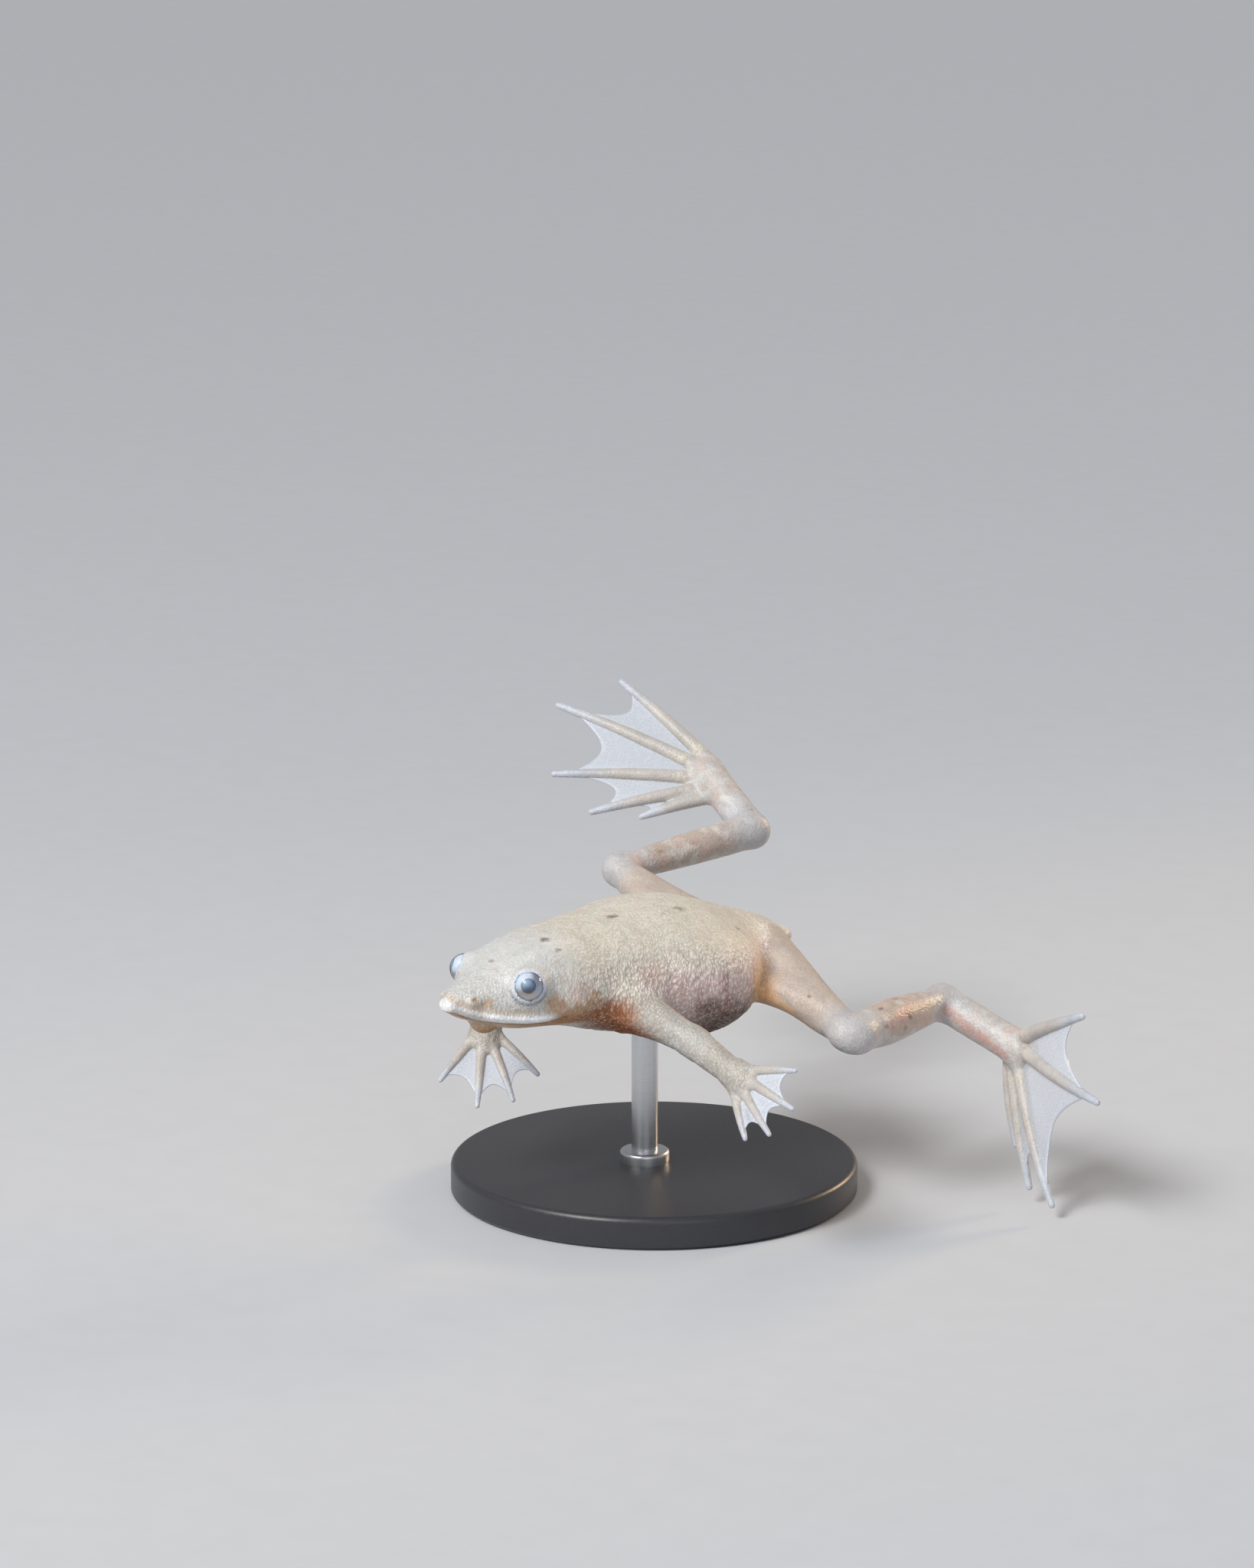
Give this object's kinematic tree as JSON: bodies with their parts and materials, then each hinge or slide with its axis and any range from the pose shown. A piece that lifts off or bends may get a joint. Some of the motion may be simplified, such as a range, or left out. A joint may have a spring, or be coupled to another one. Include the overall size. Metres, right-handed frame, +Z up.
{
  "type": "african dwarf frog model",
  "caption": "Life-size still model of a pale, swimming African dwarf frog with spread webbed feet, held over a plain round base by a short rod.",
  "frame": {"origin": "centre of the underside of the stand's round base, on the floor", "axes": "+Z up, -Y the way the frog's snout points, +X to the frog's left"},
  "size_m": [0.064, 0.0469, 0.0318],
  "materials": {
    "skin": "moist, finely granular cream skin, pinker on the belly",
    "webbed_skin": "moist, thin, see-through web between pale digits",
    "eye": "clear wet cornea over a pale blue-white iris",
    "stand_base": "satin black",
    "stand_rod": "brushed"
  },
  "bodies": {
    "root": {"head": "skin", "torso": "skin", "eye_left": "eye", "eye_right": "eye", "thigh_left": "skin", "shin_left": "skin", "tarsus_left": "skin", "foot_left": "webbed_skin", "upper_arm_left": "skin", "forearm_left": "skin", "hand_left": "webbed_skin", "thigh_right": "skin", "shin_right": "skin", "tarsus_right": "skin", "foot_right": "webbed_skin", "upper_arm_right": "skin", "forearm_right": "skin", "hand_right": "webbed_skin", "stand_base": "stand_base", "stand_rod": "stand_rod"}
  },
  "joints": []
}
